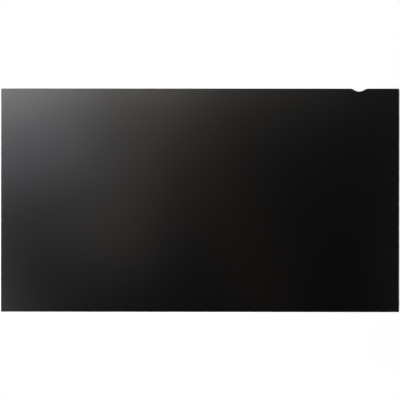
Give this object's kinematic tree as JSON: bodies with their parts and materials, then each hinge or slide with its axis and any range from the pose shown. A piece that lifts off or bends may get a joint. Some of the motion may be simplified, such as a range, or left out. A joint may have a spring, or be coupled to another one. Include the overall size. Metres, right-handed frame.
{
  "type": "monitor privacy filter",
  "caption": "Flat rectangular sheet of black louvred film with a satin face and a finger notch in its top edge; it lies over a screen and hides the picture from the side.",
  "frame": {"origin": "middle of the back face, which lies on the surface below", "axes": "+X across the screen to the right, +Y up the screen towards the notched edge, +Z out of the viewing face"},
  "size_m": [0.531, 0.298, 0.0005],
  "materials": {
    "louvred_film": "satin anti-glare black"
  },
  "bodies": {
    "root": {"filter_sheet": "louvred_film"}
  },
  "joints": []
}
